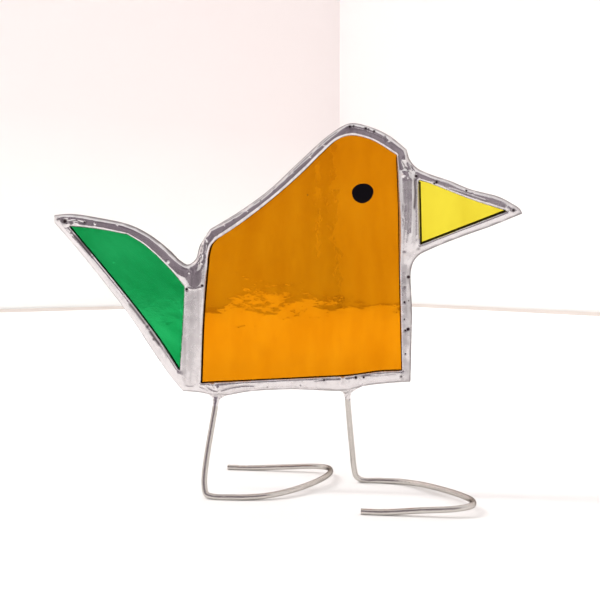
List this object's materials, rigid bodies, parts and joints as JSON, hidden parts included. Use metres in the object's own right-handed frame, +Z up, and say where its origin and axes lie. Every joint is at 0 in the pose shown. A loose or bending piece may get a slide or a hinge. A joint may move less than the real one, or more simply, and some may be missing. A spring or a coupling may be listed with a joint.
{
  "type": "stained glass bird suncatcher",
  "caption": "Freestanding stained glass bird: coloured panes held in a rounded solder frame, standing on bent wire legs with looped feet.",
  "frame": {"origin": "centre of the bounding box, on the surface that the feet stand on", "axes": "+X from tail to beak along the glass, +Y through the glass, +Z up"},
  "size_m": [0.1156, 0.0407, 0.0897],
  "materials": {
    "amber_glass": "smooth, faintly streaky amber cathedral glass",
    "green_glass": "smooth, faintly streaky green cathedral glass",
    "yellow_glass": "smooth clear yellow glass",
    "solder": "bright, rounded, slightly lumpy solder bead",
    "tinned_wire": "dull tinned wire with fine drawing lines"
  },
  "bodies": {
    "root": {"body_pane": "amber_glass", "tail_pane": "green_glass", "beak_pane": "yellow_glass", "solder_frame": "solder", "tail_side_leg": "tinned_wire", "beak_side_leg": "tinned_wire"}
  },
  "joints": []
}
